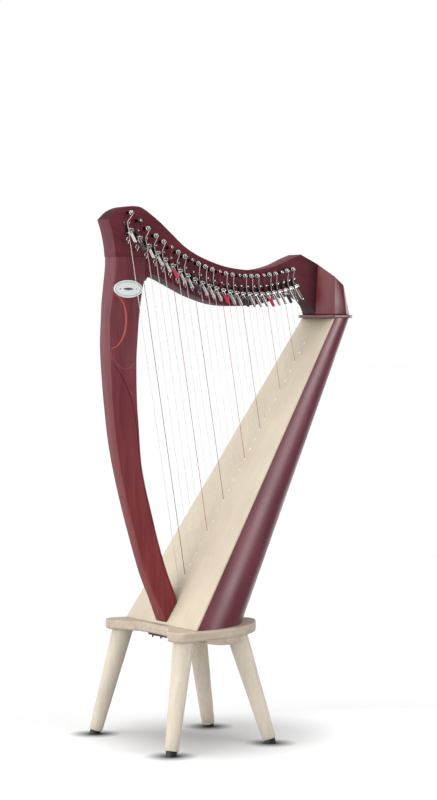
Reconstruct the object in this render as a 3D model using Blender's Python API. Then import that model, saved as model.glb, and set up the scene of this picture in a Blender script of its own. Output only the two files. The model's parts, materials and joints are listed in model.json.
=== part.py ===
"""Small lever harp standing on a four-legged stool.

Lengths are in millimetres and become metres when a mesh is made. The design frame has X running
from the pillar towards the player, Z up from the floor, and Y = 0 on the plane of symmetry.
The strings, levers and string ends of the tuning pins are on the -Y side of the neck.
"""
import math

import bmesh
import bpy
from mathutils import Matrix, Vector

# ---- driving dimensions ------------------------------------------------------------------------
MM = 0.001
GAP = 0.3                   # clearance between pieces that touch on the real harp
STRINGS = 25

NECK_HALF = 24.0            # half the thickness of the neck and of the pillar's thickest part
SEAT_TOP = 240.2
SEAT_THICK = 20.0

BOARD_SLOPE = math.radians(58.6)
BOARD_FOOT = (65.5, 240.6)  # x, z of the lower end of the soundboard's front face
BOARD_LENGTH = 725.5
BOARD_HALF_LOW = 143.8
BOARD_HALF_TOP = 60.4
BOARD_THICK = 4.0
SHELL_DEPTH_LOW = 171.0
SHELL_DEPTH_TOP = 67.5
SHELL_WALL = 4.5
SHELL_END = 8.0             # thickness of the base and of the top block inside the shell
SHELL_STEPS = 22            # flats round the back of the shell
SOUND_HOLES = [(345.0, 27.0, 24.0), (500.0, 24.0, 22.0), (640.0, 20.0, 18.0)]
                            # height of the middle, half width, half of the straight run
HOLE_CUT = (45.0, 230.0)    # where a sound hole's cutter starts and ends behind the soundboard
RIB_DEPTH = BOARD_THICK + GAP
RIB_THICK = 8.0
RIB_HALF = 9.0
RIB_TAPER = 2.0             # how much narrower the rib is at its back, each side
RIB_SPARE = 40.0            # how far the rib runs past the first and the last string
COLLAR_LOW = 860.2
COLLAR_HIGH = 866.4
COLLAR_LIP = 6.5

PIN_RADIUS = 3.0
PIN_TIP_Y = -47.0
PIN_KEY_Y = 39.0
KEY_HALF = 2.3              # half the width of the square key end
KEY_START_Y = 27.0
STRING_Y = -41.5            # string height at the bridge pins
BRIDGE_RADIUS = 1.5
BRIDGE_TIP_Y = -44.0
STRING_RADIUS_BASS = 0.55
STRING_RADIUS_TREBLE = 0.3
ANCHOR_FIRST = 86.4         # distance of the first string hole from the soundboard's lower edge
ANCHOR_STEP_BASS = 25.6
ANCHOR_STEP_TREBLE = 22.5
STRING_HOLE_SPARE = 1.1     # how much wider than its string a hole's radius is

LEVER_DROP = 17.0           # distance of the lever's axle below the bridge pin, along the string
LEVER_STANDOFF = 5.5        # distance of the lever's axle from the string, away from the neck
LEVER_WIDTH = 6.6
LEVER_LENGTH = 30.0
LEVER_HUB = 2.6
LEVER_LOBE = 4.6
LEVER_REST = math.radians(54.0)   # handle's angle below the outward direction when off
LEVER_LOBE_TURN = math.radians(144.0)   # from the handle back to the lobe
HANDLE_HALF = 1.0           # half the thickness of the handle
POST_OFFSET = 5.6           # distance of the lever's post from the string, towards the treble
POST_RADIUS = 1.6
ROD_ROOT = 4.0              # how deep the bridge pins and posts start inside the neck

SEAT_LOBE = (43.0, -128.0, 30.0)   # x, y and radius of the lobe over the front right leg
SEAT_BACK = [(95, -152), (140, -142), (178, -126), (212, -104), (243, -76), (266, -44), (281, -16),
             (284, 0)]
SEAT_WAIST = [(54, 0), (49, -62)]
SEAT_ROUND = 3.0            # how far the seat's edge draws in at the top and bottom
BELLY = [(76, 0), (75, -60), (84, -140), (102, -148), (140, -138.5), (176, -123), (182, -113),
         (170, -97), (165, -65), (188, -42), (222, -30)]
BELLY_DEEP = 13.0           # how far the thicker middle reaches below the seat's edge
BELLY_DRAW = 5.0            # how far its sides draw in towards its bottom

LEG_TOP_RADIUS = 21.5
LEG_LOW_RADIUS = 13.8       # the wooden leg's lower end
FOOT_RADIUS = 11.0          # the rubber foot under it
FOOT_HEIGHT = 8.0
LEG_SIDES = 20
LEGS = {                    # foot centre on the floor, and centre where it meets the seat
    "stool_leg_front_left": ((0.0, 160.4), (48.4, 125.8)),
    "stool_leg_front_right": ((0.0, -160.4), (48.4, -125.8)),
    "stool_leg_back_left": ((252.0, 124.0), (196.8, 82.6)),
    "stool_leg_back_right": ((252.0, -124.0), (196.8, -82.6)),
}

# Side view of the neck: points (x, z) that its smooth edges pass through.
NOSE = (-64.4, 1054.6)
PEAK = (387.0, 991.4)
JOINT_X = 19.4              # the pillar's top end sits in a step of the neck at this corner
JOINT_Z = 980.8
NECK_TOP = [NOSE, (-47, 1070.6), (-27, 1079.4), (-5, 1081.8), (15, 1077.2), (50, 1053.3),
            (78, 1029.8), (107, 1005.2), (135, 988.6), (167, 975.3), (205, 964.2), (245, 958.6),
            (270, 958.2), (300, 961), (333, 969.3), (363, 982.3), PEAK]
CREASE_TOP = (428.8, 971.7)
CREASE_LOW = (421.6, COLLAR_HIGH + GAP)
BLOCK_CORE = (445, 955)     # the neck's plank ends at this corner, inside the shoulder block
NECK_UNDER = [CREASE_LOW, (418.4, 878), (410.4, 890.3), (399.5, 899), (384, 904.6), (364, 905),
              (344.8, 902.8), (310, 893.8), (280, 887), (245, 884.2), (214, 884.6), (184, 888.6),
              (157, 896.2), (127, 906.6), (94, 922.2), (66, 935.4), (43, 944.2), (31, 944.4),
              (23.5, 939.4), (JOINT_X + GAP / 2, 933)]
NECK_FRONT = [(-48.2, JOINT_Z + GAP / 2), (-50.6, 1003), (-56.5, 1031), NOSE]

# Side view of the pillar, from its top end down to the soundboard.
PILLAR_FRONT = [(-48.2, JOINT_Z - GAP / 2), (-48.5, 960), (-53.4, 916), (-58.6, 868), (-60.3, 815),
                (-58.2, 758), (-52.5, 682), (-42.6, 602), (-26, 520), (1, 420), (24.4, 346),
                (47, 294), (68, 248)]
PILLAR_INNER = [(JOINT_X - GAP / 2, 933), (15.3, 928.5), (6.6, 873), (1.2, 809), (-0.8, 765),
                (1.6, 695), (6.3, 644), (12.8, 575), (22.6, 523), (37.3, 466), (54.7, 401),
                (73.8, 343.6), (96, 290)]
PILLAR_FRONT_HALF = [(1000, 23.0), (870, 20.5), (640, 19.5), (500, 17.0), (380, 15.5), (300, 17.0),
                     (240, 22.5)]   # (height, half width of the front face)
PILLAR_INNER_HALF = [(1000, 23.5), (760, 23.5), (560, 17.0), (240, 17.0)]
PILLAR_EDGE = (0.12, 0.5)   # share of the width at which the front edge ends, and how it widens there
PILLAR_FULL = 0.84          # share of the width at which the side is full
PILLAR_SECTIONS = 15
PILLAR_LEVELS = (933, 300)  # highest and lowest of the evenly spaced sections

# Plan of the shoulder block on the collar, from the neck's crease round to its back.
BLOCK_LOW = [(421.6, 24.0), (446.7, 60.0), (484.0, 49.0), (511.0, 19.0)]
BLOCK_TOP = [(428.8, 24.0, 971.7), (446.5, 60.0, 946.3), (478.8, 45.0, 928.8), (496.0, 19.0, 923.5)]

# Points that the rows of tuning pins and of bridge pins follow, at equal string spacings.
PIN_ROW = [(-21, 1068), (34.7, 1023.3), (85.2, 991.4), (132, 969), (180.5, 953.2), (227.2, 945.9),
           (271, 945.6), (314.4, 950.8), (357.2, 960.3)]
BRIDGE_ROW = [(-28.8, 1048.7), (32, 1004.3), (83.9, 969.7), (135.2, 946.2), (184.2, 931.9),
              (230.9, 925.3), (276.1, 925.1), (319, 930.6), (358.8, 940.8)]

CENTRE_X = (NOSE[0] + BLOCK_LOW[-1][0] + COLLAR_LIP) / 2   # puts the model's middle at x = 0

COLOURS = {
    "burgundy": ((0.165, 0.028, 0.037, 1.0), 0.42, 0.0),
    "burgundy_dark": ((0.11, 0.018, 0.028, 1.0), 0.40, 0.0),
    "maple_board": ((0.80, 0.70, 0.54, 1.0), 0.55, 0.0),
    "maple_stool": ((0.78, 0.67, 0.52, 1.0), 0.50, 0.0),
    "string": ((0.85, 0.85, 0.84, 1.0), 0.30, 0.0),
    "nickel": ((0.62, 0.61, 0.59, 1.0), 0.28, 1.0),
    "lever_red": ((0.60, 0.02, 0.03, 1.0), 0.35, 0.0),
    "lever_black": ((0.02, 0.02, 0.022, 1.0), 0.35, 0.0),
}


# ---- helpers -----------------------------------------------------------------------------------
def point(x, y, z):
    """Design point in millimetres to a world point in metres."""
    return Vector(((x - CENTRE_X) * MM, y * MM, z * MM))


def material(name, slot):
    colour, roughness, metallic = COLOURS[slot]
    made = bpy.data.materials.new(name + "_material")
    made.use_nodes = True
    shader = made.node_tree.nodes["Principled BSDF"]
    shader.inputs["Base Color"].default_value = colour
    shader.inputs["Roughness"].default_value = roughness
    shader.inputs["Metallic"].default_value = metallic
    return made


def add_object(name, bm, slot, smooth=True):
    bmesh.ops.remove_doubles(bm, verts=bm.verts, dist=1e-7)
    bmesh.ops.recalc_face_normals(bm, faces=bm.faces)
    mesh = bpy.data.meshes.new(name)
    bm.to_mesh(mesh)
    bm.free()
    if smooth:
        mesh.shade_smooth()
        mesh.set_sharp_from_angle(angle=math.radians(35))
    made = bpy.data.objects.new(name, mesh)
    bpy.context.scene.collection.objects.link(made)
    made.data.materials.append(material(name, slot))
    return made


def boolean(target, cutter, operation):
    cutter.hide_render = True
    cutter.display_type = "WIRE"
    step = target.modifiers.new(operation.lower() + "_" + cutter.name, "BOOLEAN")
    step.operation = operation
    step.solver = "EXACT"
    step.object = cutter


def smooth_curve(points, pieces):
    """Catmull-Rom curve through the points, with some straight pieces between neighbours."""
    first = [2 * a - b for a, b in zip(points[0], points[1])]
    last = [2 * a - b for a, b in zip(points[-1], points[-2])]
    ends = [first] + [list(p) for p in points] + [last]
    curve = []
    for i in range(1, len(ends) - 2):
        for k in range(pieces):
            t = k / pieces
            curve.append(tuple(
                0.5 * (2 * b + (c - a) * t + (2 * a - 5 * b + 4 * c - d) * t ** 2
                       + (3 * b - a - 3 * c + d) * t ** 3)
                for a, b, c, d in zip(*ends[i - 1:i + 3])))
    curve.append(tuple(points[-1]))
    return curve


def along_row(row):
    """One (x, z) for each string, spread evenly over a row's points."""
    spans = len(row) - 1
    return smooth_curve(row, (STRINGS - 1) // spans)


def table(points, height):
    """Linear reading of a list of (height, value), highest first."""
    for (high, upper), (low, lower) in zip(points, points[1:]):
        if height >= low:
            return lower + (upper - lower) * (height - low) / (high - low)
    return points[-1][1]


def x_at(edge, height):
    """x of a falling side-view edge at a height."""
    return table([(z, x) for x, z in edge], height)


def extrude_outline(outline, y_low, y_high):
    """Closed solid from a side-view outline of (x, z)."""
    bm = bmesh.new()
    near = [bm.verts.new(point(x, y_low, z)) for x, z in outline]
    far = [bm.verts.new(point(x, y_high, z)) for x, z in outline]
    bm.faces.new(near)
    bm.faces.new(list(reversed(far)))
    count = len(outline)
    for i in range(count):
        j = (i + 1) % count
        bm.faces.new([near[i], far[i], far[j], near[j]])
    return bm


def loft(bm, rings):
    """Skin closed rings of points and cap both ends; returns nothing, adds to bm."""
    made = [[bm.verts.new(p) for p in ring] for ring in rings]
    count = len(made[0])
    for low, high in zip(made, made[1:]):
        for i in range(count):
            j = (i + 1) % count
            bm.faces.new([low[i], low[j], high[j], high[i]])
    bm.faces.new(list(reversed(made[0])))
    bm.faces.new(made[-1])


def circle(centre, axis_a, axis_b, radius, sides):
    """Points in metres of a circle whose centre and radius are in design millimetres."""
    ring = []
    for i in range(sides):
        angle = 2 * math.pi * (i + 0.5) / sides
        offset = (math.cos(angle) * axis_a + math.sin(angle) * axis_b) * radius
        ring.append(point(*(centre + offset)))
    return ring


def tube(bm, path, radius, sides):
    """Round tube along a list of design points."""
    rings = []
    for i, here in enumerate(path):
        before = path[max(i - 1, 0)]
        after = path[min(i + 1, len(path) - 1)]
        direction = (after - before).normalized()
        side = direction.cross(Vector((1, 0, 0))).normalized()
        rings.append(circle(here, side, direction.cross(side), radius, sides))
    loft(bm, rings)


def turned_along_y(bm, x, z, profile, sides):
    """Round solid about a Y axis from a profile of (y, radius)."""
    across = Vector((1, 0, 0))
    upward = Vector((0, 0, 1))
    loft(bm, [circle(Vector((x, y, z)), across, upward, radius, sides) for y, radius in profile])


# ---- positions that several pieces share -------------------------------------------------------
def board_point(distance, y=0.0, depth=0.0):
    """Design point on the soundboard, at a depth behind its front face."""
    x = BOARD_FOOT[0] + distance * math.cos(BOARD_SLOPE) + depth * math.sin(BOARD_SLOPE)
    z = BOARD_FOOT[1] + distance * math.sin(BOARD_SLOPE) - depth * math.cos(BOARD_SLOPE)
    return Vector((x, y, z))


def anchor_distances():
    distances = [ANCHOR_FIRST]
    for i in range(STRINGS - 1):
        share = i / (STRINGS - 2)
        distances.append(distances[-1] + ANCHOR_STEP_BASS
                         + share * (ANCHOR_STEP_TREBLE - ANCHOR_STEP_BASS))
    return distances


def string_radius(index):
    share = index / (STRINGS - 1)
    return STRING_RADIUS_BASS + share * (STRING_RADIUS_TREBLE - STRING_RADIUS_BASS)


def string_path(index):
    """Coil tangent, bend round the bridge pin, soundboard hole and inner rib."""
    radius = string_radius(index)
    pin = Vector((PINS[index][0], STRING_Y, PINS[index][1]))
    bridge = Vector((BRIDGES[index][0], STRING_Y, BRIDGES[index][1]))
    front = board_point(ANCHORS[index])
    inner = board_point(ANCHORS[index], 0.0, RIB_DEPTH + RIB_THICK / 4)
    coil_radius = PIN_RADIUS + GAP + radius
    bend = bridge
    for _ in range(3):
        reach = bend - pin
        angle = math.atan2(reach.z, reach.x) + math.acos(coil_radius / reach.length)
        start = pin + Vector((math.cos(angle), 0, math.sin(angle))) * coil_radius
        bend = bridge + bend_offset(bridge - start, front - bridge, radius)
    return [start, bend, front, inner]


def bend_offset(arriving, leaving, radius):
    """From a bridge pin's centre to the corner of a string that runs round its left side."""
    arriving = Vector((arriving.x, 0, arriving.z)).normalized()
    leaving = Vector((leaving.x, 0, leaving.z)).normalized()
    half_turn = arriving.angle(leaving) / 2
    reach = (BRIDGE_RADIUS + GAP + radius) / math.cos(half_turn)
    return (arriving - leaving).normalized() * reach


def lever_frame(index):
    """Axle point, and unit vectors along the axle, outward and down the string."""
    _, bend, front, _ = string_path(index)
    down = (front - bend).normalized()
    axle = Vector((0, -1, 0)).cross(down).normalized()
    outward = down.cross(axle)
    pivot = bend + down * LEVER_DROP + outward * LEVER_STANDOFF
    return pivot, axle, outward, down


PINS = along_row(PIN_ROW)
BRIDGES = along_row(BRIDGE_ROW)
ANCHORS = anchor_distances()


# ---- neck and pillar ---------------------------------------------------------------------------
def neck_outline():
    top = smooth_curve(NECK_TOP, 3)
    under = smooth_curve(NECK_UNDER, 2)
    front = smooth_curve(NECK_FRONT, 2)
    inside_block = [CREASE_TOP, BLOCK_CORE, (BLOCK_CORE[0], COLLAR_HIGH + GAP)]
    step = [(JOINT_X + GAP / 2, JOINT_Z + GAP / 2)]
    return top + inside_block + under + step + front[:-1]


def shoulder_block():
    """Faceted block that widens the neck to the top of the soundbox."""
    bm = bmesh.new()
    floor = COLLAR_HIGH + GAP
    for side in (-1, 1):
        for x, y in BLOCK_LOW:
            bm.verts.new(point(x, side * y, floor))
        for x, y, z in BLOCK_TOP:
            bm.verts.new(point(x, side * y, z))
    bmesh.ops.convex_hull(bm, input=bm.verts)
    return bm


def neck_hardware():
    """Bridge pins and lever posts, each a short rod that starts inside the neck."""
    bm = bmesh.new()
    root = ROD_ROOT - NECK_HALF
    for index in range(STRINGS):
        x, z = BRIDGES[index]
        turned_along_y(bm, x, z, [(root, BRIDGE_RADIUS), (BRIDGE_TIP_Y, BRIDGE_RADIUS)], 8)
        pivot, axle, _, _ = lever_frame(index)
        foot = pivot + axle * POST_OFFSET
        turned_along_y(bm, foot.x, foot.z,
                       [(root, POST_RADIUS), (pivot.y - POST_RADIUS, POST_RADIUS)], 8)
    return bm


def make_neck():
    neck = add_object("neck", extrude_outline(neck_outline(), -NECK_HALF, NECK_HALF), "burgundy")
    block = add_object("neck_block_form", shoulder_block(), "burgundy", smooth=False)
    rods = add_object("neck_hardware_form", neck_hardware(), "nickel")
    bores_mesh = bmesh.new()
    for x, z in PINS:
        reach = NECK_HALF + 3
        turned_along_y(bores_mesh, x, z, [(-reach, PIN_RADIUS + GAP), (reach, PIN_RADIUS + GAP)], 12)
    bores = add_object("neck_bore_form", bores_mesh, "nickel")
    boolean(neck, block, "UNION")
    boolean(neck, bores, "DIFFERENCE")
    boolean(neck, rods, "UNION")


def make_pillar():
    """Loft of eight-cornered sections whose sides are bevelled towards both edges."""
    front = smooth_curve(PILLAR_FRONT, 4)
    inner = smooth_curve(PILLAR_INNER, 4)
    highest, lowest = PILLAR_LEVELS
    bm = bmesh.new()
    rings = []
    for i in range(PILLAR_SECTIONS + 1):
        height = highest + (lowest - highest) * i / PILLAR_SECTIONS
        rings.append(pillar_ring(x_at(front, height), x_at(inner, height), height, height))
    neck_x = JOINT_X - GAP / 2
    top = JOINT_Z - GAP / 2
    rings.insert(0, pillar_ring(x_at(front, top), neck_x, top, top))
    front_foot = board_meeting(front)
    inner_foot = board_meeting(inner)
    rings.append(pillar_ring(front_foot[0], inner_foot[0], front_foot[1], inner_foot[1]))
    loft(bm, rings)
    add_object("pillar", bm, "burgundy")


def board_meeting(edge):
    """Last point of a falling side-view edge that is still clear of the soundboard."""
    slope = math.tan(BOARD_SLOPE)
    lift = 2 * GAP / math.cos(BOARD_SLOPE)
    for (x0, z0), (x1, z1) in zip(edge, edge[1:]):
        above = z1 - BOARD_FOOT[1] - lift - (x1 - BOARD_FOOT[0]) * slope
        if above < 0:
            before = z0 - BOARD_FOOT[1] - lift - (x0 - BOARD_FOOT[0]) * slope
            share = before / (before - above)
            return x0 + share * (x1 - x0), z0 + share * (z1 - z0)
    x1, z1 = edge[-1]
    return x1, BOARD_FOOT[1] + lift + (x1 - BOARD_FOOT[0]) * slope


def pillar_ring(x_front, x_inner, z_front, z_inner):
    half_front = table(PILLAR_FRONT_HALF, z_front)
    half_inner = table(PILLAR_INNER_HALF, z_front)
    width = x_inner - x_front
    edge_share, edge_swell = PILLAR_EDGE
    side = [(0.0, half_front), (edge_share, half_front + edge_swell), (PILLAR_FULL, NECK_HALF),
            (1.0, half_inner)]
    half = [(x_front + share * width, y, z_front + share * (z_inner - z_front)) for share, y in side]
    ring = [point(x, -y, z) for x, y, z in half]
    ring += [point(x, y, z) for x, y, z in reversed(half)]
    return ring


# ---- soundbox ----------------------------------------------------------------------------------
def shell_ring(height, inset, front_extra):
    """Half ellipse behind the soundboard at a height, shrunk by an inset from the outside."""
    share = (height - BOARD_FOOT[1]) / (BOARD_LENGTH * math.sin(BOARD_SLOPE))
    half = BOARD_HALF_LOW + share * (BOARD_HALF_TOP - BOARD_HALF_LOW) - inset
    depth = SHELL_DEPTH_LOW + share * (SHELL_DEPTH_TOP - SHELL_DEPTH_LOW) - inset
    front = BOARD_FOOT[0] + (height - BOARD_FOOT[1]) / math.tan(BOARD_SLOPE)
    behind_board = (BOARD_THICK + GAP) / math.sin(BOARD_SLOPE)
    ring = []
    if front_extra:
        ring += [point(front - front_extra, -half, height)]
    for i in range(SHELL_STEPS + 1):
        angle = -math.pi / 2 + math.pi * i / SHELL_STEPS
        x = front + behind_board + math.cos(angle) * (depth - behind_board)
        ring.append(point(x, math.sin(angle) * half, height))
    if front_extra:
        ring += [point(front - front_extra, half, height)]
    return ring


def collar_outline():
    """Outline of the shoulder block grown by the collar's lip."""
    side = [(BLOCK_LOW[0][0] - COLLAR_LIP, BLOCK_LOW[0][1] + 5.5),
            (BLOCK_LOW[1][0] - 4.5, BLOCK_LOW[1][1] + 7.0),
            (BLOCK_LOW[2][0] + 4.5, BLOCK_LOW[2][1] + 5.5),
            (BLOCK_LOW[3][0] + COLLAR_LIP, BLOCK_LOW[3][1] + 2.0)]
    return [(x, -y) for x, y in side] + [(x, y) for x, y in reversed(side)]


def make_shell():
    low = SEAT_TOP + GAP
    high = COLLAR_LOW
    bm = bmesh.new()
    loft(bm, [shell_ring(low, 0.0, 0.0), shell_ring(high, 0.0, 0.0)])
    shell = add_object("soundbox_shell", bm, "burgundy_dark")

    cavity_mesh = bmesh.new()
    loft(cavity_mesh, [shell_ring(low + SHELL_END, SHELL_WALL, 10.0),
                       shell_ring(high - SHELL_END, SHELL_WALL, 10.0)])
    cavity = add_object("shell_cavity_form", cavity_mesh, "burgundy_dark")

    collar_mesh = bmesh.new()
    outline = collar_outline()
    loft(collar_mesh, [[point(x, y, COLLAR_LOW - 0.01) for x, y in outline],
                       [point(x, y, COLLAR_HIGH) for x, y in outline]])
    collar = add_object("shell_collar_form", collar_mesh, "burgundy_dark", smooth=False)

    holes_mesh = bmesh.new()
    for height, half_width, half_length in SOUND_HOLES:
        stadium(holes_mesh, height, half_width, half_length)
    holes = add_object("shell_hole_form", holes_mesh, "burgundy_dark")

    boolean(shell, cavity, "DIFFERENCE")
    boolean(shell, holes, "DIFFERENCE")
    boolean(shell, collar, "UNION")


def stadium(bm, height, half_width, half_length):
    """Cutter with round ends that passes through the back of the shell only."""
    outline = []
    for start, centre in ((0.0, half_length), (math.pi, -half_length)):
        for i in range(9):
            angle = start + math.pi * i / 8
            outline.append((math.cos(angle) * half_width, height + centre
                            + math.sin(angle) * half_width))
    front = BOARD_FOOT[0] + (height - BOARD_FOOT[1]) / math.tan(BOARD_SLOPE)
    loft(bm, [[point(front + reach, y, z) for y, z in outline] for reach in HOLE_CUT])


def make_soundboard():
    bm = bmesh.new()
    top = (COLLAR_LOW - GAP - BOARD_FOOT[1]) / math.sin(BOARD_SLOPE)
    rings = []
    for depth in (0.0, BOARD_THICK):
        drop = depth / math.tan(BOARD_SLOPE)
        rings.append([point(*board_point(drop, -BOARD_HALF_LOW, depth)),
                      point(*board_point(drop, BOARD_HALF_LOW, depth)),
                      point(*board_point(top + drop, BOARD_HALF_TOP, depth)),
                      point(*board_point(top + drop, -BOARD_HALF_TOP, depth))])
    loft(bm, rings)
    board = add_object("soundboard", bm, "maple_board", smooth=False)
    holes_mesh = bmesh.new()
    for index in range(STRINGS):
        _, _, front, inner = string_path(index)
        beyond = front + (front - inner).normalized() * BOARD_THICK
        tube(holes_mesh, [inner, beyond], string_radius(index) + STRING_HOLE_SPARE, 8)
    holes = add_object("board_hole_form", holes_mesh, "maple_board")
    boolean(board, holes, "DIFFERENCE")


def make_strings():
    """All strings, joined by the rib behind the soundboard that they are knotted under."""
    rib_mesh = bmesh.new()
    rib_rings = []
    back = RIB_DEPTH + RIB_THICK
    back_half = RIB_HALF - RIB_TAPER
    for distance in (ANCHORS[0] - RIB_SPARE, ANCHORS[-1] + RIB_SPARE):
        rib_rings.append([point(*board_point(distance, -RIB_HALF, RIB_DEPTH)),
                          point(*board_point(distance, RIB_HALF, RIB_DEPTH)),
                          point(*board_point(distance, back_half, back)),
                          point(*board_point(distance, -back_half, back))])
    loft(rib_mesh, rib_rings)
    strings = add_object("strings", rib_mesh, "string")
    wires_mesh = bmesh.new()
    for index in range(STRINGS):
        tube(wires_mesh, string_path(index), string_radius(index), 6)
    wires = add_object("string_wire_form", wires_mesh, "string")
    boolean(strings, wires, "UNION")


# ---- tuning pins and levers --------------------------------------------------------------------
def make_tuning_pins():
    """Round pin with a square key end on the far side of the neck."""
    for index, (x, z) in enumerate(PINS):
        bm = bmesh.new()
        turned_along_y(bm, 0, 0, [(PIN_TIP_Y, PIN_RADIUS - 0.6), (PIN_TIP_Y + 0.8, PIN_RADIUS),
                                  (KEY_START_Y, PIN_RADIUS)], 12)
        bmesh.ops.translate(bm, verts=bm.verts, vec=-point(0, 0, 0))
        key_end(bm)
        name = "tuning_pin_%02d" % (index + 1)
        pin = add_object(name, bm, "nickel")
        pin.location = point(x, 0, z)


def key_end(bm):
    """Extend the pin's far cap into a square shank."""
    cap = max(bm.faces, key=lambda face: face.calc_center_median().y)
    made = bmesh.ops.extrude_discrete_faces(bm, faces=[cap])["faces"][0]
    for vert in made.verts:
        angle = math.atan2(vert.co.z, vert.co.x)
        reach = KEY_HALF * MM / max(abs(math.cos(angle)), abs(math.sin(angle)))
        vert.co = Vector((reach * math.cos(angle), KEY_START_Y * MM, reach * math.sin(angle)))
    shank = bmesh.ops.extrude_discrete_faces(bm, faces=[made])["faces"][0]
    for vert in shank.verts:
        vert.co.y = PIN_KEY_Y * MM


def lever_profile():
    """(outward, down) outline of hub, lobe and handle in the off position."""
    outline = []
    lobe_angle = LEVER_REST - LEVER_LOBE_TURN
    neck_angle = math.asin(HANDLE_HALF / LEVER_HUB)
    for i in range(15):
        angle = LEVER_REST + neck_angle + (2 * math.pi - 2 * neck_angle) * i / 14
        away = abs(math.atan2(math.sin(angle - lobe_angle), math.cos(angle - lobe_angle)))
        radius = LEVER_HUB + (LEVER_LOBE - LEVER_HUB) * max(0.0, math.cos(away)) ** 2
        outline.append((math.cos(angle) * radius, math.sin(angle) * radius))
    along = (math.cos(LEVER_REST), math.sin(LEVER_REST))
    across = (-along[1], along[0])
    shoulder = LEVER_LENGTH - HANDLE_HALF
    for reach, side in ((shoulder, -HANDLE_HALF), (LEVER_LENGTH, 0.0), (shoulder, HANDLE_HALF)):
        outline.append((along[0] * reach + across[0] * side, along[1] * reach + across[1] * side))
    return outline


def make_levers():
    """One lever a string; its origin is on its axle and local X runs along the axle."""
    profile = lever_profile()
    half = LEVER_WIDTH / 2
    for index in range(STRINGS):
        bm = bmesh.new()
        near = [bm.verts.new(Vector((-half, -a, -b)) * MM) for a, b in profile]
        far = [bm.verts.new(Vector((half, -a, -b)) * MM) for a, b in profile]
        bm.faces.new(near)
        bm.faces.new(list(reversed(far)))
        for i in range(len(profile)):
            j = (i + 1) % len(profile)
            bm.faces.new([near[i], far[i], far[j], near[j]])
        note = (index + 3) % 7
        slot = {1: "lever_red", 4: "lever_black"}.get(note, "nickel")
        lever = add_object("lever_%02d" % (index + 1), bm, slot)
        pivot, axle, outward, down = lever_frame(index)
        turn = Matrix((axle, -outward, -down)).transposed().to_4x4()
        lever.matrix_world = Matrix.Translation(point(*pivot)) @ turn


# ---- stool -------------------------------------------------------------------------------------
def arc(centre_x, centre_y, radius, start_deg, end_deg, steps):
    made = []
    for i in range(steps + 1):
        angle = math.radians(start_deg + (end_deg - start_deg) * i / steps)
        made.append((centre_x + radius * math.cos(angle), centre_y + radius * math.sin(angle)))
    return made


def mirrored(half):
    """The other half of an outline that starts or ends on the plane of symmetry."""
    return [(x, -y) for x, y in reversed(half) if y]


def seat_outline():
    """Plate with a lobe over each front leg, a shallow waist between them and a round back."""
    lobe = arc(*SEAT_LOBE, 165, 268, 9)
    right = lobe[:-1] + smooth_curve([lobe[-1]] + SEAT_BACK, 2)
    return right + mirrored(right) + smooth_curve(mirrored(SEAT_WAIST) + SEAT_WAIST, 3)


def inset_outline(outline, distance):
    """Closed plan outline (x, y), running anticlockwise, moved inwards."""
    count = len(outline)
    made = []
    for i, (x, y) in enumerate(outline):
        (x0, y0), (x1, y1) = outline[i - 1], outline[(i + 1) % count]
        run = Vector((x1 - x0, y1 - y0)).normalized()
        made.append((x - run.y * distance, y + run.x * distance))
    return made


def make_seat():
    """Plate, thicker in the middle, clear of the four legs."""
    plate_low = SEAT_TOP - SEAT_THICK
    outline = seat_outline()
    bm = bmesh.new()
    loft(bm, [[point(x, y, height) for x, y in inset_outline(outline, inset)]
              for height, inset in ((plate_low, SEAT_ROUND), (plate_low + SEAT_ROUND, 0.0),
                                    (SEAT_TOP - SEAT_ROUND, 0.0), (SEAT_TOP, SEAT_ROUND))])
    seat = add_object("stool_seat", bm, "maple_stool")
    outline = BELLY + mirrored(BELLY)
    bm = bmesh.new()
    loft(bm, [[point(x, y, height) for x, y in inset_outline(outline, inset)]
              for height, inset in ((plate_low - BELLY_DEEP, BELLY_DRAW),
                                    (plate_low + SEAT_ROUND, 0.0))])
    boolean(seat, add_object("seat_belly_form", bm, "maple_stool"), "UNION")


def make_legs():
    for name, (foot, top) in LEGS.items():
        bm = bmesh.new()
        top_z = SEAT_TOP - SEAT_THICK - GAP
        rings = []
        for height, radius in ((0.0, FOOT_RADIUS - 0.5), (1.0, FOOT_RADIUS),
                               (FOOT_HEIGHT, FOOT_RADIUS), (FOOT_HEIGHT + 1.0, LEG_LOW_RADIUS),
                               (top_z, LEG_TOP_RADIUS)):
            share = height / top_z
            centre = Vector((foot[0] + (top[0] - foot[0]) * share,
                             foot[1] + (top[1] - foot[1]) * share, height))
            rings.append(circle(centre, Vector((1, 0, 0)), Vector((0, 1, 0)), radius, LEG_SIDES))
        loft(bm, rings)
        add_object(name, bm, "maple_stool")


def main():
    for old in list(bpy.data.objects):
        bpy.data.objects.remove(old, do_unlink=True)
    make_neck()
    make_pillar()
    make_shell()
    make_soundboard()
    make_strings()
    make_tuning_pins()
    make_levers()
    make_seat()
    make_legs()


main()
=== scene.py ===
"""Looks of a small lever harp on a legged stool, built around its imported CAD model.

Lengths are in millimetres of the design frame: X runs from the pillar towards the player, Y = 0 is
the plane of symmetry and Z is up from the floor. at() turns a design point into metres of the row
frame. The strings, levers and string ends of the tuning pins are on the -Y side of the neck.
"""
import json
from math import acos, atan2, cos, degrees, pi, radians, sin, sqrt, tan

import bmesh
import bpy
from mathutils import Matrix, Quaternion, Vector


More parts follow.
